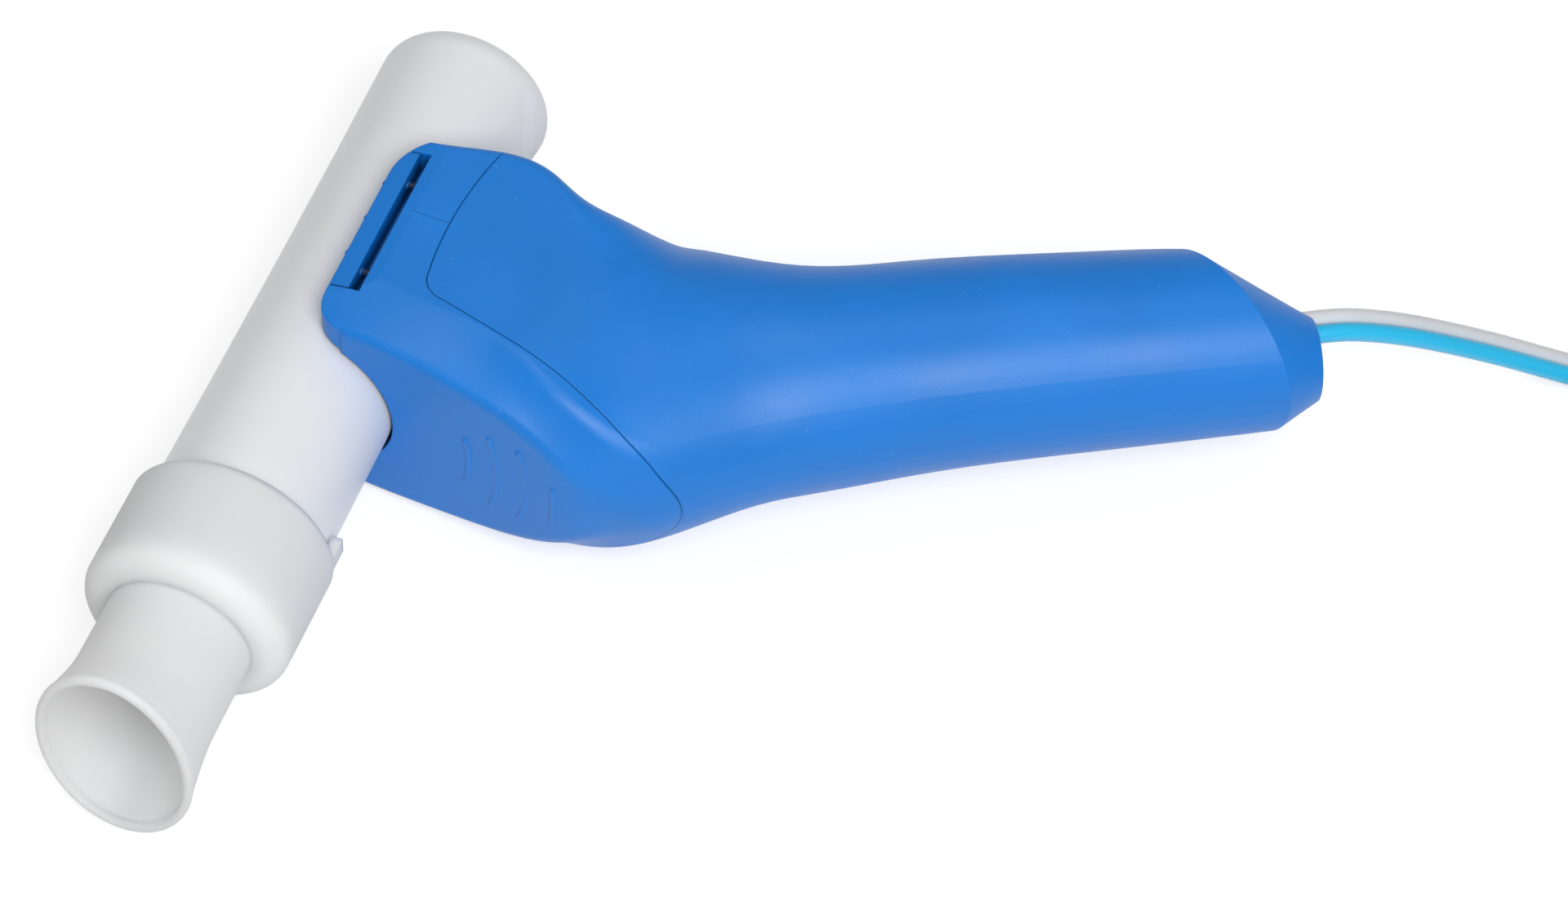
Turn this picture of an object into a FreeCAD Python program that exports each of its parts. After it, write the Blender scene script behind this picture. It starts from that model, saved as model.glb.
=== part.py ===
import FreeCAD, Part
import math
import os
from FreeCAD import Vector

# A handheld spirometer lying on its side: a white flow tube with a slip-on mouthpiece, held in the
# saddle of a pistol-like handle, and two thin pressure hoses. All lengths are in millimetres.
# Modelling frame: the flow tube runs along Y (mouthpiece towards -Y), X points from the tube
# towards the handle, and the mirror plane of the whole object is Z = 0.

# Flow tube
tube_radius = 17.0            # outside, at its two ends
tube_waist = 0.4              # how much thinner it is in the saddle
tube_wall = 2.0
tube_far_end = 54.0           # Y of the rounded outlet end
tube_near_end = -78.0         # Y of the end inside the mouthpiece
tube_end_round = 6.0
outlet_radius = 11.0
tap_pitch = 14.0              # between the two pressure taps, along Y
nipple_radius = 2.2
nipple_bore = 0.9
nipple_length = 6.0           # beyond the tube's outside
nipple_point = 0.8            # length of its tapered tip

# Flow screen between its two clamping rings
screen_thickness = 0.6
screen_hole_radius = 1.9
screen_hole_pitch = 5.2
screen_hole_rings = 2
ring_length = 3.0
ring_wall = 1.4

# Mouthpiece
slip_clearance = 0.05
collar_top = -59.4
collar_wall = 2.5
collar_length = 25.2
shoulder_height = 2.2         # of the rounded shoulder above the collar, along Y
collar_round = 4.0
mouth_wall = 1.7
mouth_lip_radius = 1.0
mouth_lip_out = 0.15          # how far the lip's bead stands out round the mouth
mouth_sections = (            # below the collar: Y, half width along X, half height along Z
    (-82.5, 13.9, 14.0),
    (-89.0, 13.6, 14.1),
    (-95.5, 13.6, 14.7),
    (-100.0, 13.5, 16.0),
    (-104.5, 13.7, 18.2),
    (-109.0, 14.2, 20.9),
    (-112.0, 14.6, 22.5),
)
index_step = (-61.6, -56.4, 3.6)  # a small tab on the shoulder: from Y, to Y, width along Z

# Head of the handle
arm_wall = 6.5                # of the saddle's arms, outside the tube
head_near = -26.9             # Y of the face below the saddle
head_far = 20.9               # Y of the face above the saddle
arm_tip_x = 1.3
near_corner_radius = 6.0
far_corner_radius = 11.0
edge_round = 1.8              # how far the rounding of the long creases reaches to each side
arm_slope_x = 9.5             # where the side of each saddle arm starts to thin
arm_thinning = 1.3
housing_wall = 2.4
saddle_clearance = 0.2
saddle_wall = 2.2
cavity_start_x = 14.0         # the arms are solid nearer to the tip than this
parting_gap = 0.15

# Grip, measured in its own plan axes: along the grip and across it
grip_angle = 28.0             # between the grip and the X axis, degrees
grip_centre = -30.5           # across, from the saddle centre to the grip's middle line
crease_far = 148.3            # along, where the tail's facet starts on the far side
crease_near = 165.6
tail_end = 172.4
tail_near = -45.0             # across
tail_far = -29.4
tail_half = 8.0

# Release buttons, one in each arm of the saddle
slot_centre = -1.3            # Y of its middle
slot_half_length = 17.2
slot_right_x = 7.2
button_width = 3.7
button_gap = 0.3
button_floor_wall = 1.2       # left between the button and the seat
button_bump_pitch = 8.8
bump_radius = 1.1
bump_stand_out = 0.35
pin_pitch = 22.0              # between the two guide pins on the button's back
pin_radius = 0.9
pin_bore_radius = 1.15
pin_depth = 3.2               # from the side of the head to the pins' axis
pin_tip_x = 9.2
pin_bore_end_x = 12.6
spring_thickness = 0.3
spring_folds = 4
spring_width = 1.0            # along Z
spring_swing = 0.6            # of the zigzag to each side, along Y

# Thumb rest ribs: X of the ends, half length along Z, middle along Z, and bow
thumb_ribs = ((32.4, 5.9, -0.4, 0.6), (37.4, 9.9, -0.7, 1.6), (43.6, 9.6, -0.1, 1.6), (50.6, 4.6, -0.9, 0.2))
rib_width = 1.3
rib_height = 0.45

# Port block behind the saddle, its seals and hose barbs
block_depth = 9.0
block_width = 25.0            # along Y
block_height = 11.0
seal_ring_radius = 2.95
seal_cord_radius = 0.65
socket_clearance = 0.35
ear_thickness = 3.0
ear_margin = 0.6              # of the ears round the screw heads
barb_radius = 0.95
barb_length = 6.0
barb_collar = 0.25            # how far it stands out round the barb
barb_clearance = 0.35         # between the barb and the hose's socket
port_bore = 0.5

# Hoses
hose_diameter = 3.5
hose_exit_across = -33.0
hose_exit_z = 3.5

# Fasteners
screw_radius = 1.5
screw_head_radius = 2.7
screw_head_height = 1.7
screw_length = 12.0
cap_screw_edge = 5.4          # in from the far face
cap_pad_wall = 1.2            # round the sunk screw heads
cap_pad_floor = 2.2
cap_screw_z = 8.0
boss_radius = 3.2
boss_length = 11.0
boss_rib = 2.4
block_screw_length = 4.2

# Hose coil on the table
coil_outer_turn = 32.0        # radius of the pair's middle line
coil_inner_turn = 14.5
coil_layers = 4
coil_margin = 0.3
coil_centre = (258.5, 64.0)

# Hose ends
connector_length = 19.0
connector_radius = 3.1
connector_taper = 1.6
lock_ring_radius = 3.9
lock_ring_length = 5.0
connector_pitch = 9.0         # between the two connectors that lie on the coil
connector_offset = 22.5       # of the pair, from the coil's middle

along = Vector(math.cos(math.radians(grip_angle)), math.sin(math.radians(grip_angle)), 0)
across = Vector(-along.y, along.x, 0)
up = Vector(0, 0, 1)
to_handle = Vector(1, 0, 0)
down_tube = Vector(0, 1, 0)
head_half = tube_radius + arm_wall
table_z = -head_half
cut_reach = 60.0              # half length of the pieces that cut right through the head


def grip(distance, offset, z=0.0):
    """A point given along and across the grip."""
    return along * distance + across * offset + Vector(0, 0, z)


def mirrored(shape):
    """The same piece on the other side of the mirror plane."""
    return shape.mirror(Vector(0, 0, 0), up)


def cylinder(start, direction, radius, length):
    return Part.makeCylinder(radius, length, start, direction)


def box(x0, x1, y0, y1, z0, z1):
    return Part.makeBox(x1 - x0, y1 - y0, z1 - z0, Vector(x0, y0, z0))


def through_head(radius):
    """A cylinder round the tube's axis that passes right through the head."""
    return cylinder(Vector(0, -cut_reach, 0), down_tube, radius, 2 * cut_reach)


def revolved(points):
    """A turned piece from its half section, points as (radius, y)."""
    outline = Part.makePolygon([Vector(r, y, 0) for r, y in points + points[:1]])
    return Part.Face(outline).revolve(Vector(0, 0, 0), down_tube, 360)


# Housing: sections from the saddle to the tail
class Section:
    """One cross-section of the housing, standing on a line in plan from near to far."""

    def __init__(self, near, far, half, low_edge=14.0, bevel=17.0, roundness=0.0, shoulder=5.0):
        self.near = Vector(near[0], near[1], 0)
        self.far = Vector(far[0], far[1], 0)
        self.half = half
        self.low_edge = low_edge
        self.bevel = bevel
        self.roundness = roundness
        self.shoulder = shoulder

    def boxy(self, length, half, inset):
        """Flat thumb face, bevel, flat side and rounded far edge, as Bezier poles (u, z)."""
        low = (0.0, max(self.low_edge - inset, 3.0))
        crease = (max(self.bevel - inset, 2.0), half)
        shoulder = (length - self.shoulder, half)
        far = (length, 0.0)
        face_end, bevel_start = beside((0.0, 0.0), low), beside(crease, low)
        bevel_end, side_start = beside(low, crease), beside(shoulder, crease)
        return [line_poles((0.0, 0.0), face_end), corner_poles(face_end, low, bevel_start),
                line_poles(bevel_start, bevel_end), corner_poles(bevel_end, crease, side_start),
                line_poles(side_start, shoulder),
                [shoulder, (length - 0.1, half), (length, half - self.shoulder / 2), far]]

    def oval(self, length, half):
        """The same six stretches laid round a half ellipse."""
        stops = [0.0, 11.0, 20.0, 28.0, 38.0, 104.0, 180.0]
        return [arc_poles(length / 2, half, a, b) for a, b in zip(stops, stops[1:])]

    def strips(self, inset=0.0):
        """The twelve stretches round the section, each as four Bezier poles."""
        direction = (self.far - self.near).normalize()
        start = self.near + direction * inset
        length = (self.far - self.near).Length - 2 * inset
        half = self.half - inset
        above = []
        for square, round_ in zip(self.boxy(length, half, inset), self.oval(length, half)):
            blend = self.roundness
            poles = [(a[0] + (b[0] - a[0]) * blend, a[1] + (b[1] - a[1]) * blend)
                     for a, b in zip(square, round_)]
            above.append([start + direction * u + Vector(0, 0, z) for u, z in poles])
        below = [[Vector(p.x, p.y, -p.z) for p in reversed(poles)] for poles in reversed(above)]
        return above + below

    def middle(self):
        return (self.near + self.far) * 0.5


def bezier(poles):
    curve = Part.BezierCurve()
    curve.setPoles(poles)
    return curve.toShape()


def line_poles(a, b):
    return [(a[0] + (b[0] - a[0]) * t / 3, a[1] + (b[1] - a[1]) * t / 3) for t in range(4)]


def beside(start, corner):
    """The point on the way from start to the corner where the corner's rounding begins."""
    length = math.dist(start, corner)
    share = 1 - edge_round / length
    return (start[0] + (corner[0] - start[0]) * share, start[1] + (corner[1] - start[1]) * share)


def corner_poles(start, corner, end):
    """Bezier poles of a rounded corner."""
    near = [(p[0] + (corner[0] - p[0]) * 0.6, p[1] + (corner[1] - p[1]) * 0.6) for p in (start, end)]
    return [start, near[0], near[1], end]


def arc_poles(a, b, start, end):
    """Bezier poles of an arc of a half ellipse that starts at u = 0."""
    start, end = math.radians(start), math.radians(end)
    pull = 4 / 3 * math.tan((end - start) / 4)
    ends = [(a - a * math.cos(t), b * math.sin(t)) for t in (start, end)]
    runs = [(pull * a * math.sin(t), pull * b * math.cos(t)) for t in (start, end)]
    return [ends[0], (ends[0][0] + runs[0][0], ends[0][1] + runs[0][1]),
            (ends[1][0] - runs[1][0], ends[1][1] - runs[1][1]), ends[1]]


def grip_section(distance, half_across, half, centre=None):
    """A section square to the grip, a full ellipse."""
    middle = grip_centre if centre is None else centre
    near = grip(distance, middle - half_across)
    far = grip(distance, middle + half_across)
    return Section((near.x, near.y), (far.x, far.y), half, roundness=1.0)


crease_near_point = grip(crease_near, -48.6)
crease_far_point = grip(crease_far, -13.0)
head_skin = head_half + 0.12  # the sides are then planed flat at head_half
head_sections = [
    Section((arm_tip_x, head_near), (arm_tip_x, head_far - 0.4), head_skin, 20.9, 14.2),
    Section((10, head_near - 0.8), (10, head_far + 0.8), head_skin, 22.1, 13.9),
    Section((22, head_near - 2.2), (21, head_far + 2.9), head_skin, 21.4, 12.5),
    Section((34, head_near - 4.0), (29, head_far + 1.9), head_skin, 19.5, 11.8, 0.0, 6.0),
    Section((46, head_near - 6.4), (37, head_far - 0.8), head_skin, 15.9, 8.8, 0.08, 8.0),
    Section((54, head_near - 7.6), (43, head_far + 0.6), head_half - 0.5, 11.4, 8.0, 0.28, 10.0),
    Section((61, head_near - 6.4), (47.5, head_far + 2.7), head_half - 1.6, 7.0, 5.0, 0.56, 12.0),
    Section((68.5, head_near - 4.0), (52, head_far + 4.1), head_half - 2.6, 5.6, 4.0, 0.82, 14.0),
]
grip_sections = [
    grip_section(62, 26.6, 19.8, -29.6),
    grip_section(76, 22.5, 19.4, -30.8),
    grip_section(100, 20.3, 18.5),
    grip_section(128, 19.1, 17.9),
]
crease_section = Section((crease_near_point.x, crease_near_point.y),
                         (crease_far_point.x, crease_far_point.y), 17.3, roundness=1.0)
tail_section = grip_section(tail_end, (tail_far - tail_near) / 2, tail_half, (tail_far + tail_near) / 2)


def smooth_strip(rows, stations):
    """A face through one stretch of every section, curved smoothly along the housing."""
    columns = []
    for column in zip(*rows):
        curve = Part.BSplineCurve()
        curve.interpolate(Points=list(column), Parameters=stations)
        columns.append(curve)
    surface = Part.BSplineSurface()
    surface.buildFromPolesMultsKnots([c.getPoles() for c in columns], [4, 4],
                                     columns[0].getMultiplicities(), [0.0, 1.0],
                                     columns[0].getKnots(), False, False, 3, columns[0].Degree)
    return surface.toShape()


def housing(inset=0.0):
    """The whole outside of the housing, or the same form shrunk by a wall."""
    sections = head_sections + grip_sections + [crease_section]
    strips = [section.strips(inset) for section in sections]
    end = [[p - along * inset for p in poles] for poles in tail_section.strips(inset * 0.9)]
    stations = [0.0]
    for last, section in zip(sections, sections[1:]):
        stations.append(stations[-1] + (section.middle() - last.middle()).Length)
    faces = [smooth_strip(rows, stations) for rows in zip(*strips)]
    faces += [Part.makeRuledSurface(bezier(a), bezier(b)) for a, b in zip(strips[-1], end)]
    faces += [Part.Face(Part.Wire([bezier(poles) for poles in ring])) for ring in (strips[0], end)]
    shell = Part.makeShell(faces)
    shell.sewShape()
    solid = Part.makeSolid(shell)
    solid.fix(0.001, 0.001, 0.001)
    if solid.Volume < 0:
        solid.reverse()
    return solid


def corner_cutter(y, radius, side):
    """What rounding takes off an outer corner of the saddle, seen in plan."""
    low, high = sorted((y, y + side * radius))
    block = box(arm_tip_x - 1, arm_tip_x + radius, low - 2, high + 2, -cut_reach, cut_reach)
    keep_side = box(arm_tip_x - 2, arm_tip_x + radius + 1, *sorted((y + side * radius, y + side * cut_reach)),
                    -cut_reach, cut_reach)
    pillar = cylinder(Vector(arm_tip_x + radius, y + side * radius, -cut_reach), up, radius, 2 * cut_reach)
    return block.cut(pillar).cut(keep_side)


def plan_arc(start, middle, end):
    return Part.Arc(*(Vector(x, y, 0) for x, y in (start, middle, end))).toShape()


def parting_region():
    """Plan area of the front cap: the saddle and the band with the thumb rest."""
    top = (27.0, 40.0)
    corner = (17.2, -10.3)
    turn = (21.8, -15.2)
    dip = (58.9, -26.3)
    end = (73.5, -27.7)
    edges = [plan_arc(top, (16.45, -0.5), corner), plan_arc(corner, (18.4, -13.4), turn),
             plan_arc(turn, (42.0, -21.0), dip), plan_arc(dip, (66.0, -28.0), end)]
    outer = [end, (90, -27.7), (90, -80.0), (-30, -80.0), (-30, 40.0), top]
    edges += [Part.makeLine(Vector(*a, 0), Vector(*b, 0)) for a, b in zip(outer, outer[1:])]
    face = Part.Face(Part.Wire(edges))
    return face.extrude(up * 2 * cut_reach).translated(up * -cut_reach)


def widened(solid_region, gap):
    """The region widened by the parting gap, which the shell stays out of."""
    moved = [solid_region.translated(step) for step in (Vector(gap, 0, 0), Vector(0, gap, 0))]
    return solid_region.fuse(moved[0]).fuse(moved[1])


def arm_slope():
    """What the thinning towards the tip takes off the side of a saddle arm."""
    above = head_half + 5
    thin = head_half - arm_thinning
    outline = [(arm_slope_x, head_half), (arm_tip_x, thin), (arm_tip_x - 1, thin), (arm_tip_x - 1, above),
               (arm_slope_x, above)]
    corners = [Vector(x, -cut_reach, z) for x, z in outline]
    return Part.Face(Part.makePolygon(corners + corners[:1])).extrude(down_tube * 2 * cut_reach)


outside = housing().common(box(-10, 260, -90, 120, -head_half, head_half))
outside = outside.cut(arm_slope()).cut(mirrored(arm_slope()))
outside = outside.cut(corner_cutter(head_near, near_corner_radius, 1))
outside = outside.cut(corner_cutter(head_far, far_corner_radius, -1))
inside = housing(housing_wall)
cap_region = parting_region()

seat_radius = tube_radius + saddle_clearance
back_radius = seat_radius + saddle_wall
seat = through_head(seat_radius).fuse(box(-20, 0, -cut_reach, cut_reach, -seat_radius, seat_radius))
back = through_head(back_radius)
cavity = inside.common(box(cavity_start_x, 260, -80, 120, -40, 40)).cut(back)

# Port block and what plugs into it
tap_y = (-tap_pitch / 2, tap_pitch / 2)
nipple_tip_x = tube_radius + nipple_length
block_front = back_radius + 0.05
block_back = block_front + block_depth
socket_radius = seal_ring_radius + seal_cord_radius
seal_x = block_front + seal_cord_radius + 0.25
socket_depth = 2 * seal_cord_radius + 0.5
post_y = block_width / 2 + screw_head_radius + 0.3


def port_block():
    block = box(block_front, block_back, -block_width / 2, block_width / 2,
                -block_height / 2, block_height / 2)
    block = block.makeFillet(1.2, [e for e in block.Edges if abs(e.tangentAt(0).x) > 0.9])
    ear_end = post_y + screw_head_radius + ear_margin
    ear_half = screw_head_radius + ear_margin
    for side in (-1, 1):
        low, high = sorted((side * (block_width / 2 - 0.5), side * ear_end))
        ear = box(block_front, block_front + ear_thickness, low, high, -ear_half, ear_half)
        hole = cylinder(Vector(block_front - 1, side * post_y, 0), to_handle, screw_radius + 0.15,
                        ear_thickness + 2)
        block = block.fuse(ear).cut(hole)
    for y in tap_y:
        barb_at = Vector(block_back - 0.5, y, 0)
        block = block.fuse(cylinder(barb_at, to_handle, barb_radius, barb_length + 0.5))
        collar = Part.makeCone(barb_radius + barb_collar, barb_radius, 1.6, Vector(block_back + 3.2, y, 0),
                               to_handle)
        block = block.fuse(collar)
    for y in tap_y:
        front = Vector(block_front - 1, y, 0)
        block = block.cut(cylinder(front, to_handle, socket_radius, socket_depth + 1))
        nose = nipple_radius + socket_clearance
        block = block.cut(cylinder(front, to_handle, nose, nipple_tip_x - front.x + 0.5))
        block = block.cut(cylinder(front, to_handle, port_bore, block_depth + barb_length + 3))
    return block


def port_seal(y):
    ring = Part.makeTorus(seal_ring_radius - 0.02, seal_cord_radius - 0.02,
                          Vector(seal_x, y, 0), to_handle)
    return ring


def screw(head_seat, direction, length):
    """A pan head screw whose head bears at head_seat and whose shank runs along direction."""
    shank = cylinder(head_seat, direction, screw_radius, length - screw_radius)
    tip = Part.makeCone(screw_radius, 0.3, screw_radius, head_seat + direction * (length - screw_radius),
                        direction)
    head = cylinder(head_seat - direction * screw_head_height, direction, screw_head_radius,
                    screw_head_height)
    cross = box(-0.35, 0.35, -1.6, 1.6, -0.1, 1.0).fuse(box(-1.6, 1.6, -0.35, 0.35, -0.1, 1.0))
    cross.Placement = FreeCAD.Placement(head_seat - direction * screw_head_height,
                                        FreeCAD.Rotation(up, direction))
    return shank.fuse(tip).fuse(head).cut(cross)


# Front cap with its saddle
cap_screw_seat_x = math.sqrt(seat_radius ** 2 - (cap_screw_z - screw_head_radius) ** 2) + screw_head_height + 0.2
cap_pad_radius = screw_head_radius + 0.3 + cap_pad_wall
cap_pad_end = cap_screw_seat_x + cap_pad_floor
cap_screw_places = [Vector(cap_screw_seat_x, head_far - cap_screw_edge, side * cap_screw_z)
                    for side in (-1, 1)]
arm_top = head_half + 5
button_floor_radius = seat_radius + button_floor_wall
pin_z = head_half - pin_depth


def slot_box(x0, x1, half_length, z0, z1):
    """A box along the slot, centred on its middle."""
    return box(x0, x1, slot_centre - half_length, slot_centre + half_length, z0, z1)


def guide_pins(x0, x1, radius):
    """Two cylinders on the axes of the button's guide pins."""
    start = Vector(x0, slot_centre, pin_z)
    return [cylinder(start + down_tube * side * pin_pitch / 2, to_handle, radius, x1 - x0) for side in (-1, 1)]


def button_pocket():
    """The slot in the upper arm, with the two bores for the button's guide pins."""
    slot = slot_box(arm_tip_x - 2, slot_right_x, slot_half_length, tube_radius / 2, arm_top)
    bores = guide_pins(slot_right_x - 1, pin_bore_end_x, pin_bore_radius)
    return slot.cut(through_head(button_floor_radius)).fuse(bores)


def thumb_rib(x, half_length, z_middle, bow):
    """A low curved rib that stands across the thumb face."""
    y = thumb_face_y(x) + rib_width / 2 - rib_height
    points = []
    for step in range(5):
        share = step / 2 - 1
        points.append(Vector(x + bow * (1 - share ** 2), y, z_middle + share * half_length))
    path = Part.BSplineCurve()
    path.interpolate(points)
    spine = Part.Wire([path.toShape()])
    circle = Part.Circle(points[0], path.tangent(path.FirstParameter)[0], rib_width / 2)
    rod = spine.makePipeShell([Part.Wire([circle.toShape()])], True, True)
    ends = [Part.makeSphere(rib_width / 2, p) for p in (points[0], points[-1])]
    return rod.fuse(ends[0]).fuse(ends[1])


def thumb_face_y(x):
    """Y of the thumb face on the mirror plane, measured on the housing."""
    probe = Part.makeLine(Vector(x, -90, 0), Vector(x, 0, 0))
    return min(vertex.Y for vertex in outside.common(probe).Vertexes)


def front_cap():
    behind_axis = box(0, cut_reach, -cut_reach, cut_reach, -cut_reach, cut_reach)
    region = cap_region.fuse(back.common(behind_axis))
    cap = outside.common(region).cut(cavity).cut(seat)
    for y in tap_y:
        cap = cap.cut(cylinder(Vector(10, y, 0), to_handle, nipple_radius + 0.6, 14))
    for side in (-1, 1):
        post = cylinder(Vector(seat_radius + 0.8, side * post_y, 0), to_handle, 2.6,
                        block_front - seat_radius - 0.85)
        cap = cap.fuse(post)
        hole = cylinder(Vector(seat_radius + 0.9, side * post_y, 0), to_handle, screw_radius, 8)
        cap = cap.cut(hole)
    for place in cap_screw_places:
        pad_start = Vector(seat_radius - 6, place.y, place.z)
        pad = cylinder(pad_start, to_handle, cap_pad_radius, cap_pad_end - pad_start.x)
        cap = cap.fuse(pad.common(outside).cut(seat))
        cap = cap.cut(cylinder(place, to_handle, screw_radius + 0.2, 12))
        cap = cap.cut(cylinder(place - Vector(12, 0, 0), to_handle, screw_head_radius + 0.3, 12))
    pocket = button_pocket()
    cap = cap.cut(pocket).cut(mirrored(pocket))
    for rib in thumb_ribs:
        cap = cap.fuse(thumb_rib(*rib))
    return cap


def handle_shell():
    region = widened(cap_region, parting_gap)
    keep_out = back_radius + parting_gap
    shell = outside.cut(region).cut(through_head(keep_out))
    shell = shell.cut(inside)
    for place in cap_screw_places:
        pad_room = cylinder(Vector(0, place.y, place.z), to_handle, cap_pad_radius + parting_gap,
                            cap_pad_end + parting_gap)
        shell = shell.cut(pad_room)
        start = Vector(cap_pad_end + parting_gap, place.y, place.z)
        boss = cylinder(start, to_handle, boss_radius, boss_length)
        rib = box(start.x, start.x + boss_length, place.y, head_far, place.z - boss_rib / 2,
                  place.z + boss_rib / 2)
        shell = shell.fuse(boss.fuse(rib).common(outside))
        shell = shell.cut(cylinder(place, to_handle, screw_radius, screw_length + 0.5))
    shell = shell.cut(gland_hole())
    return shell


# Tail gland


def oval_prism(start, half_across, half_height, length):
    """A slot-shaped prism along the grip: rounded ends towards both sides."""
    reach = half_across - half_height
    core = Part.makeBox(length, 2 * reach, 2 * half_height, Vector(0, -reach, -half_height))
    for side in (-1, 1):
        core = core.fuse(cylinder(Vector(0, side * reach, 0), to_handle, half_height, length))
    core.Placement = FreeCAD.Placement(start, FreeCAD.Rotation(up, grip_angle))
    return core.removeSplitter()


gland_half_across = hose_diameter + 1.3
gland_half_height = hose_diameter / 2 + 1.3
gland_length = housing_wall + 1.6
gland_face = tail_end + 0.1
hose_offset = hose_diameter / 2


def gland_hole():
    start = grip(tail_end - 14, hose_exit_across, hose_exit_z)
    return oval_prism(start, gland_half_across, gland_half_height, 20)


def tail_gland():
    """A rubber grommet in the tail hole, trimmed flush with the housing."""
    body_start = grip(tail_end - gland_length, hose_exit_across, hose_exit_z)
    body = oval_prism(body_start, gland_half_across - 0.05, gland_half_height - 0.05, 2 * gland_length)
    hole_start = grip(tail_end - 10, hose_exit_across, hose_exit_z)
    hole = oval_prism(hole_start, hose_diameter + 0.05, hose_diameter / 2 + 0.05, 20)
    return body.common(outside).cut(hole)


# Flow tube
def flow_tube():
    outer = [
        Part.Arc(Vector(tube_radius, tube_near_end, 0), Vector(tube_radius - tube_waist, 0, 0),
                 Vector(tube_radius, tube_far_end - tube_end_round, 0)).toShape(),
    ]
    corner = tube_far_end - tube_end_round
    middle = Vector(tube_radius - tube_end_round * (1 - math.sqrt(0.5)),
                    corner + tube_end_round * math.sqrt(0.5), 0)
    outer.append(Part.Arc(Vector(tube_radius, corner, 0), middle,
                          Vector(tube_radius - tube_end_round, tube_far_end, 0)).toShape())
    bore = tube_radius - tube_wall - tube_waist
    rest = [(tube_radius - tube_end_round, tube_far_end), (outlet_radius - 0.6, tube_far_end),
            (outlet_radius - 0.6, tube_far_end - tube_wall), (bore, corner), (bore, tube_near_end),
            (tube_radius, tube_near_end)]
    edges = outer + [Part.makeLine(Vector(*a, 0), Vector(*b, 0)) for a, b in zip(rest, rest[1:])]
    tube = Part.Face(Part.Wire(edges)).revolve(Vector(0, 0, 0), down_tube, 360)
    for y in tap_y:
        root = bore + tube_wall / 2
        nipple = cylinder(Vector(root, y, 0), to_handle, nipple_radius, nipple_tip_x - nipple_point - root)
        tip = Part.makeCone(nipple_radius, nipple_radius - 0.6, nipple_point,
                            Vector(nipple_tip_x - nipple_point, y, 0), to_handle)
        hole = cylinder(Vector(bore - 2, y, 0), to_handle, nipple_bore, nipple_tip_x)
        tube = tube.fuse(nipple).fuse(tip).cut(hole)
    return tube


def flow_screen():
    bore = tube_radius - tube_wall - tube_waist
    disc = cylinder(Vector(0, -screen_thickness / 2, 0), down_tube, bore - 0.02, screen_thickness)
    holes = []
    for column in range(-screen_hole_rings, screen_hole_rings + 1):
        for row in range(-screen_hole_rings, screen_hole_rings + 1):
            if abs(column + row) <= screen_hole_rings:
                x = (column + row / 2) * screen_hole_pitch
                z = row * screen_hole_pitch * math.sqrt(0.75)
                holes.append(cylinder(Vector(x, -2, z), down_tube, screen_hole_radius, 4))
    return disc.cut(Part.makeCompound(holes))


def screen_ring(side):
    bore = tube_radius - tube_wall - tube_waist - 0.02
    near = screen_thickness / 2
    points = [(bore, near), (bore, near + ring_length), (bore - ring_wall / 2, near + ring_length),
              (bore - ring_wall, near + ring_length - ring_wall), (bore - ring_wall, near)]
    ring = revolved([(r, side * y) for r, y in points])
    return ring


# Mouthpiece
def ellipse_wire(y, half_x, half_z):
    """An upright ellipse across the tube's axis, longer along Z."""
    curve = Part.Ellipse(Vector(0, y, half_z), Vector(half_x, y, 0), Vector(0, y, 0))
    return Part.Wire([curve.toShape()])


def mouth_loft(inset):
    """Loft through the mouth's sections, each drawn in by the inset."""
    return Part.makeLoft([ellipse_wire(y, a - inset, b - inset) for y, a, b in mouth_sections], True, False)


def collar_outline(collar_end):
    """Half section of the collar with its sloping shoulder, from the bore outwards."""
    bore = tube_radius + slip_clearance
    radius = bore + collar_wall
    edge = Vector(bore, collar_top, 0)
    knee = Vector(radius, collar_top - shoulder_height, 0)
    slope_middle = Vector(bore + collar_wall * 0.66, collar_top - shoulder_height * 0.42, 0)
    low = Vector(radius, collar_end + collar_round, 0)
    foot = Vector(radius - collar_round, collar_end, 0)
    corner = low + Vector(collar_round * (math.sqrt(0.5) - 1), -collar_round * math.sqrt(0.5), 0)
    centre_low = Vector(0, collar_end, 0)
    centre_top = Vector(0, collar_top, 0)
    return [Part.makeLine(centre_top, edge), Part.Arc(edge, slope_middle, knee).toShape(),
            Part.makeLine(knee, low), Part.Arc(low, corner, foot).toShape(),
            Part.makeLine(foot, centre_low), Part.makeLine(centre_low, centre_top)]


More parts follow.
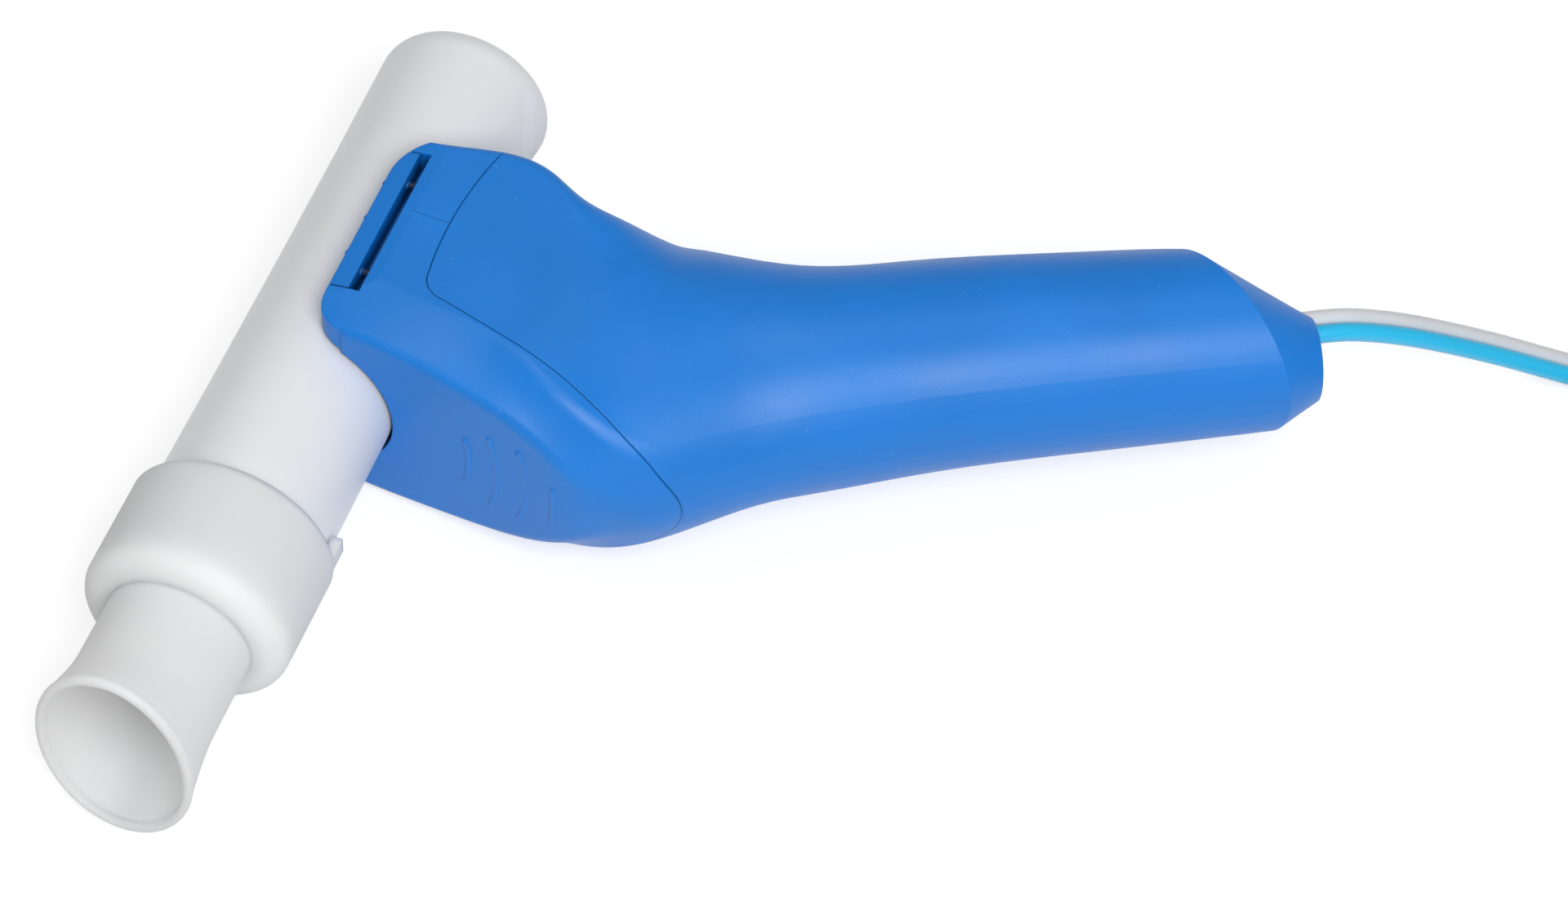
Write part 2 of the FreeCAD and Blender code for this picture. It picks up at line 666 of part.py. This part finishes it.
def mouthpiece():
    collar_end = collar_top - collar_length
    collar = Part.Face(Part.Wire(collar_outline(collar_end))).revolve(Vector(0, 0, 0), down_tube, 360)
    rim_y, rim_x, rim_z = mouth_sections[-1]
    shape = collar.fuse(mouth_loft(0.0))
    inset = mouth_lip_radius - mouth_lip_out
    lip_path = ellipse_wire(rim_y, rim_x - inset, rim_z - inset)
    lip_circle = Part.Circle(Vector(0, rim_y, rim_z - inset), to_handle, mouth_lip_radius)
    shape = shape.fuse(lip_path.makePipeShell([Part.Wire([lip_circle.toShape()])], True, True))
    step_low, step_high, step_width = index_step
    radius = tube_radius + slip_clearance + collar_wall
    step = box(tube_radius + slip_clearance + 0.2, radius - 0.3, step_low, step_high, -step_width / 2, step_width / 2)
    shape = shape.fuse(step)
    bore = cylinder(Vector(0, tube_near_end - 0.1, 0), down_tube, tube_radius + slip_clearance, tube_far_end)
    shape = shape.cut(bore)
    throat = tube_radius - tube_wall / 2
    inner = cylinder(Vector(0, collar_end + collar_round, 0), down_tube, throat, tube_far_end)
    funnel = Part.makeCone(mouth_sections[0][1] - 1.4 * mouth_wall, throat, collar_round,
                           Vector(0, collar_end, 0), down_tube)
    shape = shape.cut(inner).cut(funnel).cut(mouth_loft(mouth_wall))
    return shape.cut(mouth_opening(rim_y, rim_x, rim_z))


def mouth_opening(rim_y, rim_x, rim_z):
    """The opening inside the lip, carried on through the rim."""
    inset = 1.45 * mouth_lip_radius
    wires = [ellipse_wire(rim_y + step, rim_x - inset, rim_z - inset) for step in (-3.0, 0.4)]
    return Part.makeLoft(wires, True, True)


# Release button in the upper arm
def release_button():
    bar = slot_box(arm_tip_x, arm_tip_x + button_width, slot_half_length - button_gap, tube_radius / 2, arm_top)
    bar = bar.common(outside).cut(through_head(button_floor_radius + 0.1))
    for step in (-1, 0, 1):
        y = slot_centre + step * button_bump_pitch
        bump = cylinder(Vector(arm_tip_x + bump_radius - bump_stand_out, y, button_floor_radius + 0.4), up,
                        bump_radius, head_half - arm_thinning - button_floor_radius - 0.8)
        bar = bar.fuse(bump)
    return bar.fuse(guide_pins(arm_tip_x + button_width - 1, pin_tip_x, pin_radius))


def button_springs():
    """Two zigzag leaf springs, one in the bore behind each guide pin."""
    step = (pin_bore_end_x - pin_tip_x) / spring_folds
    low = pin_z - spring_width / 2
    outline = [Vector(pin_tip_x + step * i, spring_swing * (-1) ** i - spring_thickness / 2, low)
               for i in range(spring_folds + 1)]
    back_line = [p + down_tube * spring_thickness for p in outline]
    corners = back_line + outline[::-1]
    leaf = Part.Face(Part.makePolygon(corners + corners[:1])).extrude(up * spring_width)
    places = [slot_centre + side * pin_pitch / 2 for side in (-1, 1)]
    return Part.makeCompound([leaf.translated(down_tube * y) for y in places])


# Hose routes: straight runs joined by tangent arcs
def route_wire(points):
    """Runs between the points, each corner turned by the largest arc that its two runs allow."""
    edges = []
    start = points[0]
    for before, corner, after in zip(points, points[1:], points[2:]):
        into = (corner - before).normalize()
        out = (after - corner).normalize()
        turn = into.getAngle(out)
        back_off = 0.45 * min((corner - before).Length, (after - corner).Length)
        radius = back_off / math.tan(turn / 2)
        print("bend radius %.1f mm, turn %.0f degrees" % (radius, math.degrees(turn)))
        arc_start = corner - into * back_off
        arc_end = corner + out * back_off
        bisector = (out - into).normalize()
        centre = corner + bisector * math.sqrt(radius ** 2 + back_off ** 2)
        arc_middle = centre - bisector * radius
        edges.append(Part.LineSegment(start, arc_start).toShape())
        edges.append(Part.Arc(arc_start, arc_middle, arc_end).toShape())
        start = arc_end
    edges.append(Part.LineSegment(start, points[-1]).toShape())
    return Part.Wire(edges)


def hose(points):
    path = route_wire(points)
    direction = (points[1] - points[0]).normalize()
    rings = [Part.Wire([Part.Circle(points[0], direction, hose_diameter / 2).toShape()])]
    tube = path.makePipeShell(rings, True, True)
    area = math.pi * hose_diameter ** 2 / 4
    print("hose %.1f mm long, volume / (section x length) = %.4f" % (path.Length,
                                                                    tube.Volume / area / path.Length))
    return tube


# Middle line of the hose pair from the gland to the coil, as (along, height above the table)
floor_height = hose_diameter / 2
run_out = [(gland_face + 0.5, hose_exit_z - table_z), (181.5, 24.5), (191.5, 20.1), (202.0, 14.6),
           (212.0, 8.9), (220.5, 3.4), (230.5, floor_height), (252.0, floor_height)]


def free_hose(side):
    points = [grip(distance, hose_exit_across + side * hose_offset, table_z + height)
              for distance, height in run_out]
    return hose(points).cut(hose_coil())


def hose_coil():
    """The outer shape of the coil: a ring of four layers of the hose pair."""
    outer = coil_outer_turn + hose_diameter + coil_margin
    inner = coil_inner_turn - hose_diameter - coil_margin
    height = coil_layers * hose_diameter + coil_margin
    base = Vector(coil_centre[0], coil_centre[1], table_z)
    ring = Part.makeCylinder(outer, height, base).cut(Part.makeCylinder(inner, height, base))
    return ring.makeChamfer(1.0, [e for e in ring.Edges if e.Closed and len(e.Vertexes) == 1
                                  and e.Curve.TypeId == "Part::GeomCircle"])


def inner_hose(side):
    """From a barb of the port block to the gland."""
    y = side * tap_pitch / 2
    start = Vector(block_back + 0.6, y, 0)
    end = grip(gland_face, hose_exit_across + side * hose_offset, hose_exit_z)
    points = [start, start + Vector(14, 0, 0),
              grip(58, grip_centre + 12 + side * 4.0, 0.5), grip(86, grip_centre + 4 + side * 3.2, 1.0),
              grip(118, grip_centre - 1.5 + side * 2.6, 2.5),
              end - along * 20, end]
    tube = hose(points)
    clearance = cylinder(start - to_handle, to_handle, barb_radius + barb_clearance,
                         barb_length + 2)
    return tube.cut(clearance)


# Hose ends lying on the coil
def connector(side):
    """A slip connector with a lock ring, lying on top of the coil."""
    top = table_z + coil_layers * hose_diameter + coil_margin
    return turned_connector(connector_start(side), connector_direction(), top)


def connector_direction():
    return Vector(-along.x, -along.y, 0)


def connector_start(side):
    centre = Vector(coil_centre[0], coil_centre[1], 0)
    return centre + across * (-side * connector_pitch / 2 - connector_offset) + along * connector_length / 2


def turned_connector(start, direction, top):
    base = Vector(start.x, start.y, top + lock_ring_radius)
    sleeve = Part.makeCone(connector_radius - 0.6, connector_radius, 8.0, base, direction)
    ring = cylinder(base + direction * 8.0, direction, lock_ring_radius, lock_ring_length)
    ring = ring.makeChamfer(0.5, [e for e in ring.Edges if e.Closed
                                  and e.Curve.TypeId == "Part::GeomCircle"])
    nose = Part.makeCone(connector_radius - 0.7, connector_taper, connector_length - 8.0 - lock_ring_length,
                         base + direction * (8.0 + lock_ring_length), direction)
    body = sleeve.fuse(ring).fuse(nose)
    body = body.cut(cylinder(base - direction, direction, hose_diameter / 2, 7.0))
    return body.cut(cylinder(base, direction, 0.8, connector_length + 1))


upper_button = release_button()
upper_springs = button_springs()
nodes = {
    "flow_tube": flow_tube(),
    "flow_screen": flow_screen(),
    "screen_ring_inlet": screen_ring(-1),
    "screen_ring_outlet": screen_ring(1),
    "mouthpiece": mouthpiece(),
    "head_cap": front_cap(),
    "handle_shell": handle_shell(),
    "release_button_upper": upper_button,
    "release_button_lower": mirrored(upper_button),
    "button_springs_upper": upper_springs,
    "button_springs_lower": mirrored(upper_springs),
    "port_block": port_block(),
    "port_seal_inlet": port_seal(tap_y[0]),
    "port_seal_outlet": port_seal(tap_y[1]),
    "cap_screws": Part.makeCompound([screw(p, to_handle, screw_length) for p in cap_screw_places]),
    "block_screws": Part.makeCompound([
        screw(Vector(block_front + ear_thickness, side * post_y, 0), Vector(-1, 0, 0), block_screw_length)
        for side in (-1, 1)]),
    "inner_hose_cyan": inner_hose(-1),
    "inner_hose_grey": inner_hose(1),
    "tail_gland": tail_gland(),
}
cord_nodes = {
    "cyan_hose": free_hose(-1),
    "grey_hose": free_hose(1),
    "hose_coil": hose_coil(),
    "cyan_connector": connector(-1),
    "grey_connector": connector(1),
}

# The part's origin is the middle of its footprint on the table, hoses left out
bounds = FreeCAD.BoundBox()
for shape in nodes.values():
    bounds.add(shape.optimalBoundingBox(False))
to_origin = Vector(-bounds.Center.x, -bounds.Center.y, -table_z)
print("the saddle centre is at", to_origin)
print("size without hoses", bounds.XLength, bounds.YLength, bounds.ZLength)

os.makedirs("parts", exist_ok=True)
for name, shape in {**nodes, **cord_nodes}.items():
    placed = shape.translated(to_origin)
    for solid in placed.Solids:
        if not solid.isValid():
            print("invalid solid in", name)
    placed.exportStep(os.path.join("parts", name + ".step"))
    print(name, len(placed.Solids), "solids, volume", round(placed.Volume, 1))
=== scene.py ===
import bpy
import math
from mathutils import Matrix, Vector


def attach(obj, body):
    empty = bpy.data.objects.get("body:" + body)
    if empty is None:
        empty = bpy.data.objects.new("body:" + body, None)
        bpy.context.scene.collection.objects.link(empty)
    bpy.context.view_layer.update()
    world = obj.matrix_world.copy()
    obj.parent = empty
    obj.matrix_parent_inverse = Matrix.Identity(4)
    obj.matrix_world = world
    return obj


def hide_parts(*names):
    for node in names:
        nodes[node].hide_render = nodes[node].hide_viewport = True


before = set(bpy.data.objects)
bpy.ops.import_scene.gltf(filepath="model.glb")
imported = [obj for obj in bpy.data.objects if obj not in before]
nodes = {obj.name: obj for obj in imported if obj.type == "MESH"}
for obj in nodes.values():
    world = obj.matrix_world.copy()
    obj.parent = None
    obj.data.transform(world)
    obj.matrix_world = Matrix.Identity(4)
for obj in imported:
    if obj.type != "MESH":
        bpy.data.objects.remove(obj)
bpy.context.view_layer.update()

# The saddle's centre, where the flow tube's axis crosses the mirror plane, in metres
saddle = Vector((-0.076898193, 0.027427843, 0.0235))

# The grip's own plan axes
grip_angle = math.radians(28.0)
along = Vector((math.cos(grip_angle), math.sin(grip_angle), 0))
across = Vector((-along.y, along.x, 0))

# Right side of a release button's bar, from the saddle; the guide pins past it get painted shade
bar_right = 0.0052

# Hoses
hose_diameter = 0.0035
gland_face = 0.1725
floor_height = hose_diameter / 2
# Route from the gland to the coil: along the grip, across it, above the floor
run_out = [(gland_face - 0.0015, -0.0330, 0.0277), (0.1765, -0.0326, 0.0275), (0.1825, -0.0316, 0.0255),
           (0.1915, -0.0307, 0.0218), (0.202, -0.0303, 0.0168), (0.212, -0.0302, 0.0118),
           (0.2205, -0.0303, 0.0072), (0.2305, -0.0312, 0.0028), (0.240, -0.0325, floor_height),
           (0.252, -0.0330, floor_height)]

# Coil
coil_centre = saddle + Vector((0.2585, 0.064, 0))
coil_outer_turn = 0.032
coil_inner_turn = 0.0145
coil_layers = 4
turns_per_layer = 2.5
points_per_turn = 16
spline_pull = 1 / 0.9872      # a turn's control points stand this much further out than its line
connector_height = 0.0182
connector_offset = 0.0225
connector_pitch = 0.009
connector_length = 0.019
climb_steps = 3               # points over which a hose climbs from one layer to the next
parting = 150                 # degrees over which the pair draws apart to the connectors' pitch
straight_end = 0.007          # hose that runs straight before its connector
socket_depth = 0.001


# Camera, at the photograph's viewing angle
def make_camera():
    data = bpy.data.cameras.new("camera")
    data.lens = 112.5
    data.sensor_width = 36.0
    data.clip_start = 0.05
    data.clip_end = 20.0
    camera = bpy.data.objects.new("camera", data)
    bpy.context.scene.collection.objects.link(camera)
    right = Vector((0.94039, 0.33784, 0.03909))
    up = Vector((-0.29217, 0.74368, 0.60131))
    back = right.cross(up)
    turned = Matrix((right, up, back)).transposed().to_4x4()
    camera.matrix_world = Matrix.Translation(saddle + Vector((0.240860, -0.522570, 0.710172))) @ turned
    bpy.context.scene.camera = camera


make_camera()


# Hose pair
def grip_point(distance, offset, height):
    point = along * distance + across * offset
    return Vector((saddle.x + point.x, saddle.y + point.y, height))


def coil_point(angle, radius, height):
    """A point round the coil; angle 0 is where the pair comes in, and it grows clockwise."""
    out = across * math.cos(angle) + along * math.sin(angle)
    return Vector((coil_centre.x + out.x * radius, coil_centre.y + out.y * radius, height))


def coil_points(side):
    """The turns of one hose: in and out again, one layer on the other."""
    points = []
    steps = int(points_per_turn * turns_per_layer)
    for layer in range(coil_layers):
        first, last = coil_outer_turn, coil_inner_turn
        if layer % 2:
            first, last = last, first
        for step in range(steps):
            share = step / steps
            angle = 2 * math.pi * turns_per_layer * (layer + share)
            radius = (first + (last - first) * share + side * hose_diameter / 2) * spline_pull
            climb = max(0.0, 1 - step / climb_steps) if layer else 0.0
            height = floor_height + hose_diameter * (layer - 0.5 * climb)
            if layer < coil_layers - 1:
                height += hose_diameter * 0.5 * max(0.0, 1 - (steps - step) / climb_steps)
            points.append(coil_point(angle, radius, height))
    return points


def end_points(side):
    """Half a turn over the top, then straight into the connector."""
    top = floor_height + hose_diameter * coil_layers
    end_across = side * -connector_pitch / 2 - connector_offset
    points = []
    for degrees, radius, height in ((0, 0.0325, top - 0.0022), (25, 0.0322, top - 0.0004), (50, 0.0315, top),
                                    (75, 0.0305, top), (100, 0.0290, top), (125, 0.0270, top + 0.0004)):
        share = degrees / parting
        spread = (side * hose_diameter / 2) * (1 - share) + side * connector_pitch / 2 * share
        points.append(coil_point(math.radians(degrees), radius + spread, height))
    start = Vector((coil_centre.x, coil_centre.y, connector_height)) + across * end_across
    points.append(start + along * (connector_length / 2 + straight_end))
    points.append(start + along * (connector_length / 2 - socket_depth))
    return points


def hose(name, side, material):
    start = [grip_point(distance, offset + side * hose_diameter / 2, height)
             for distance, offset, height in run_out]
    points = start + coil_points(side) + end_points(side)
    curve = bpy.data.curves.new(name, "CURVE")
    curve.dimensions = "3D"
    curve.bevel_depth = hose_diameter / 2
    curve.bevel_resolution = 6
    curve.use_fill_caps = True
    curve.resolution_u = 8
    spline = curve.splines.new("NURBS")
    spline.points.add(len(points) - 1)
    for target, point in zip(spline.points, points):
        target.co = (*point, 1.0)
    spline.order_u = 3
    spline.use_endpoint_u = True
    piece = bpy.data.objects.new(name, curve)
    bpy.context.scene.collection.objects.link(piece)
    piece.data.materials.append(material)
    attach(piece, "handle")
    return piece, points


# Materials
dust = (0.55, 0.60, 0.66, 1)
# Distance over which the painted shade in crevices looks for nearby surfaces
crevice_shade_reach = 0.004
mould_line_width = 0.00022


def new_material(name):
    material = bpy.data.materials.new(name)
    material.use_nodes = True
    return material, material.node_tree, material.node_tree.nodes["Principled BSDF"]


def linked(tree, kind, inputs=(), **settings):
    """A new node with its settings and links: inputs are (socket, value or output)."""
    node = tree.nodes.new(kind)
    for key, value in settings.items():
        setattr(node, key, value)
    for socket, value in inputs:
        if isinstance(value, bpy.types.NodeSocket):
            tree.links.new(value, node.inputs[socket])
        else:
            node.inputs[socket].default_value = value
    return node


def noise(tree, scale, detail=2.0, roughness=0.5):
    return linked(tree, "ShaderNodeTexNoise", [("Vector", object_place(tree)), ("Scale", scale),
                                               ("Detail", detail), ("Roughness", roughness)])


def ranged(tree, value, low, high):
    """The noise value, which stays mostly between 0.3 and 0.7, spread from low to high."""
    return linked(tree, "ShaderNodeMapRange",
                  [("Value", value), ("From Min", 0.3), ("From Max", 0.7), ("To Min", low), ("To Max", high)])


def object_place(tree):
    return linked(tree, "ShaderNodeTexCoord").outputs["Object"]


def line_mask(tree, start, end):
    """1 along a straight mould line on the upper side, between two points in the saddle's plan axes."""
    run = Vector((end[0] - start[0], end[1] - start[1], 0))
    centre = Vector((saddle.x + (start[0] + end[0]) / 2, saddle.y + (start[1] + end[1]) / 2, 0))
    beside = Vector((-run.y, run.x, 0)).normalized()
    offset = linked(tree, "ShaderNodeVectorMath", [(0, object_place(tree)), (1, centre)],
                    operation="SUBTRACT")
    sides = []
    for axis, reach in ((beside, mould_line_width / 2), (run.normalized(), run.length / 2)):
        share = linked(tree, "ShaderNodeVectorMath", [(0, offset.outputs[0]), (1, axis)],
                       operation="DOT_PRODUCT")
        near = linked(tree, "ShaderNodeMath", [(0, share.outputs["Value"]), (1, 0.0), (2, reach)],
                      operation="COMPARE")
        sides.append(near.outputs[0])
    return linked(tree, "ShaderNodeMath", [(0, sides[0]), (1, sides[1])], operation="MULTIPLY").outputs[0]


def scaled(colour, factor):
    """The colour, made darker or lighter by the factor."""
    return [min(c * factor, 1.0) for c in colour[:3]] + [1.0]


def shade(tree, colour, factor, tone):
    """The colour, moved towards the tone by the factor."""
    mixed = linked(tree, "ShaderNodeMix", [("Factor", factor), (6, colour), (7, tone)], data_type="RGBA")
    return mixed.outputs[2]


def dusted(tree, tint, amount):
    """The tint with sparse pale specks."""
    fine = noise(tree, 1500.0, 1.0).outputs["Fac"]
    spots = linked(tree, "ShaderNodeMapRange", [("Value", fine), ("From Min", 0.77), ("From Max", 0.82),
                                                ("To Max", amount)])
    return shade(tree, tint, spots.outputs[0], dust)


def with_painted_crevice_shade(tree, tint, amount, painted_shade_tone):
    """The tint with painted shade: darker in seams, slots and corners."""
    reached = linked(tree, "ShaderNodeAmbientOcclusion", [("Distance", crevice_shade_reach)], samples=8)
    crevice_shade_share = linked(tree, "ShaderNodeMapRange", [("Value", reached.outputs["AO"]), ("From Min", 0.1),
                                                    ("From Max", 0.45), ("To Min", amount), ("To Max", 0.0)])
    return shade(tree, tint, crevice_shade_share.outputs[0], painted_shade_tone)


def painted_shade_past(tree, tint, limit, painted_shade_tone):
    """The tint with painted shade on the side of the limit towards the tail: a button's guide pins in their
    slot.
    """
    x = linked(tree, "ShaderNodeSeparateXYZ", [("Vector", object_place(tree))]).outputs["X"]
    in_painted_shade = linked(tree, "ShaderNodeMath", [(0, x), (1, limit)], operation="GREATER_THAN")
    return shade(tree, tint, in_painted_shade.outputs[0], painted_shade_tone)


def moulded(name, colour, roughness, grain=0.00045, depth=0.00002, shift=0.04, subsurface=0.0, reach=0.002,
            coat=0.0, edge=0.0004, crevice_shade=0.6, specks=0.0, painted_shade_beyond=None, mould_line=None):
    """Moulded plastic: spark texture, uneven gloss and colour, soft edges, painted shade in crevices, and
    dust.
    """
    material, tree, shader = new_material(name)
    patches = noise(tree, 45.0, 3.0).outputs["Fac"]
    fine = noise(tree, 1 / grain, 3.0, 0.6).outputs["Fac"]
    # The painted shade colour, for crevices and for the buttons' guide pins in their slot
    painted_shade_tone = scaled(colour, 0.12)
    tint = shade(tree, scaled(colour, 1 - shift), ranged(tree, patches, 0.0, 1.0).outputs[0],
                 scaled(colour, 1 + shift))
    if specks:
        tint = dusted(tree, tint, specks)
    if crevice_shade:
        tint = with_painted_crevice_shade(tree, tint, crevice_shade, painted_shade_tone)
    if painted_shade_beyond is not None:
        tint = painted_shade_past(tree, tint, painted_shade_beyond, painted_shade_tone)
    if mould_line:
        tint = shade(tree, tint, line_mask(tree, *mould_line), scaled(colour, 0.6))
    tree.links.new(tint, shader.inputs["Base Color"])
    gloss = linked(tree, "ShaderNodeMix", [("Factor", 0.35), (2, patches), (3, fine)], data_type="FLOAT")
    tree.links.new(ranged(tree, gloss.outputs[0], roughness - 0.05, roughness + 0.07).outputs[0],
                   shader.inputs["Roughness"])
    rounded = linked(tree, "ShaderNodeBevel", [("Radius", edge)], samples=6)
    bump = linked(tree, "ShaderNodeBump", [("Height", fine), ("Strength", 0.5), ("Distance", depth),
                                           ("Normal", rounded.outputs["Normal"])])
    tree.links.new(bump.outputs["Normal"], shader.inputs["Normal"])
    shader.inputs["Subsurface Weight"].default_value = subsurface
    shader.inputs["Subsurface Radius"].default_value = (1.0, 0.95, 0.9)
    shader.inputs["Subsurface Scale"].default_value = reach
    shader.inputs["Coat Weight"].default_value = coat
    shader.inputs["Coat Roughness"].default_value = 0.3
    return material


# Each moulded material gets painted shade in its crevices, by the amount given as crevice
blue = moulded("handle_blue", (0.003, 0.203, 0.70, 1), 0.43, depth=0.00005, shift=0.05, specks=0.2,
               mould_line=((0.0090, 0.0021), (0.0166, 0.0017)))
# The buttons' guide pins, past the bar's right side, are coloured dark as painted shade
button_blue = moulded("button_blue", (0.003, 0.195, 0.67, 1), 0.42, crevice_shade=0.8,
                      painted_shade_beyond=saddle.x + bar_right)
tube_white = moulded("tube_white", (0.84, 0.848, 0.865, 1), 0.36, grain=0.0011, depth=0.00001, shift=0.012,
                     subsurface=0.35, reach=0.004, crevice_shade=0.12)
mouth_white = moulded("mouthpiece_white", (0.945, 0.943, 0.938, 1), 0.60, grain=0.0009, depth=0.000012,
                      shift=0.012, subsurface=0.85, reach=0.009, crevice_shade=0.0, edge=0.0012, specks=0.08)
screen_white = moulded("screen_white", (0.70, 0.72, 0.75, 1), 0.5, crevice_shade=0.0)
block_grey = moulded("block_grey", (0.30, 0.31, 0.33, 1), 0.5)
rubber_black = moulded("seal_black", (0.02, 0.02, 0.022, 1), 0.6)
gland_blue = moulded("gland_blue", (0.010, 0.085, 0.34, 1), 0.62)
hose_cyan = moulded("hose_cyan", (0.022, 0.54, 0.88, 1), 0.3, grain=0.0009, depth=0.000006, shift=0.03,
                    subsurface=0.25, reach=0.0012, coat=0.25, crevice_shade=0.25)
hose_grey = moulded("hose_grey", (0.70, 0.715, 0.745, 1), 0.3, grain=0.0009, depth=0.000006, shift=0.03,
                    subsurface=0.3, reach=0.0012, coat=0.25, crevice_shade=0.25)
connector_white = moulded("connector_clear", (0.74, 0.77, 0.80, 1), 0.25, depth=0.000006, shift=0.02,
                          subsurface=0.3, reach=0.002, crevice_shade=0.2)


def metal(name, colour, roughness):
    material, tree, shader = new_material(name)
    fine = noise(tree, 6000.0, 4.0, 0.7).outputs["Fac"]
    tree.links.new(ranged(tree, fine, roughness - 0.06, roughness + 0.08).outputs[0],
                   shader.inputs["Roughness"])
    shader.inputs["Base Color"].default_value = colour
    shader.inputs["Metallic"].default_value = 1.0
    return material


steel = metal("steel", (0.56, 0.57, 0.58, 1), 0.3)

finishes = {
    "flow_tube": tube_white,
    "flow_screen": screen_white,
    "screen_ring_inlet": tube_white,
    "screen_ring_outlet": tube_white,
    "mouthpiece": mouth_white,
    "head_cap": blue,
    "handle_shell": blue,
    "release_button_upper": button_blue,
    "release_button_lower": button_blue,
    "button_springs_upper": steel,
    "button_springs_lower": steel,
    "port_block": block_grey,
    "port_seal_inlet": rubber_black,
    "port_seal_outlet": rubber_black,
    "cap_screws": steel,
    "block_screws": steel,
    "inner_hose_cyan": hose_cyan,
    "inner_hose_grey": hose_grey,
    "tail_gland": gland_blue,
    "cyan_connector": connector_white,
    "grey_connector": connector_white,
}
for node, material in finishes.items():
    nodes[node].data.materials.clear()
    nodes[node].data.materials.append(material)

# The free hoses and their coil
hoses = (("cyan_hose_line", -1, hose_cyan, 1.51), ("grey_hose_line", 1, hose_grey, 1.75))
for name, side, material, length in hoses:
    colour = name.split("_")[0]
    piece, points = hose(name, side, material)
    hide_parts(colour + "_hose", "hose_coil")


# Stage
floor_reach = 6.0
floor_glow = 0.56
ambient = 0.28
middle = (0.02, 0.0, 0.02)


def make_floor():
    mesh = bpy.data.meshes.new("floor")
    corners = [(x * floor_reach, y * floor_reach, 0) for x, y in ((-1, -1), (1, -1), (1, 1), (-1, 1))]
    mesh.from_pydata(corners, [], [(0, 1, 2, 3)])
    floor = bpy.data.objects.new("floor", mesh)
    bpy.context.scene.collection.objects.link(floor)
    material, tree, shader = new_material("floor_white")
    shader.inputs["Base Color"].default_value = (0.66, 0.66, 0.66, 1)
    shader.inputs["Roughness"].default_value = 0.9
    shader.inputs["Specular IOR Level"].default_value = 0.1
    paths = tree.nodes.new("ShaderNodeLightPath")
    seen = linked(tree, "ShaderNodeMath", [(0, paths.outputs["Is Camera Ray"]),
                                           (1, paths.outputs["Is Glossy Ray"])], operation="MAXIMUM")
    glow = linked(tree, "ShaderNodeMath", [(0, seen.outputs[0]), (1, floor_glow)], operation="MULTIPLY")
    shader.inputs["Emission Color"].default_value = (1, 1, 1, 1)
    tree.links.new(glow.outputs[0], shader.inputs["Emission Strength"])
    mesh.materials.append(material)


def area_light(name, place, size, power):
    """A round soft light that faces the object's middle."""
    data = bpy.data.lights.new(name, "AREA")
    data.shape = "DISK"
    data.size = size
    data.energy = power
    light = bpy.data.objects.new(name, data)
    bpy.context.scene.collection.objects.link(light)
    light.location = place
    light.rotation_mode = "QUATERNION"
    light.rotation_quaternion = (Vector(middle) - Vector(place)).to_track_quat("-Z", "Y")


def make_world():
    world = bpy.data.worlds.new("world")
    world.use_nodes = True
    tree = world.node_tree
    background = tree.nodes["Background"]
    paths = tree.nodes.new("ShaderNodeLightPath")
    seen = linked(tree, "ShaderNodeMapRange", [("Value", paths.outputs["Is Camera Ray"]), ("To Min", ambient),
                                               ("To Max", 1.0)])
    background.inputs["Color"].default_value = (1, 1, 1, 1)
    tree.links.new(seen.outputs[0], background.inputs["Strength"])
    bpy.context.scene.world = world


make_floor()
make_world()
area_light("key", (0.44, -0.55, 0.88), size=0.70, power=8.6)
area_light("back", (-0.14, 0.22, 1.05), size=0.35, power=1.5)
area_light("side", (-1.0, -0.2, 0.6), size=0.8, power=0.8)

bpy.context.scene.view_settings.view_transform = "Standard"
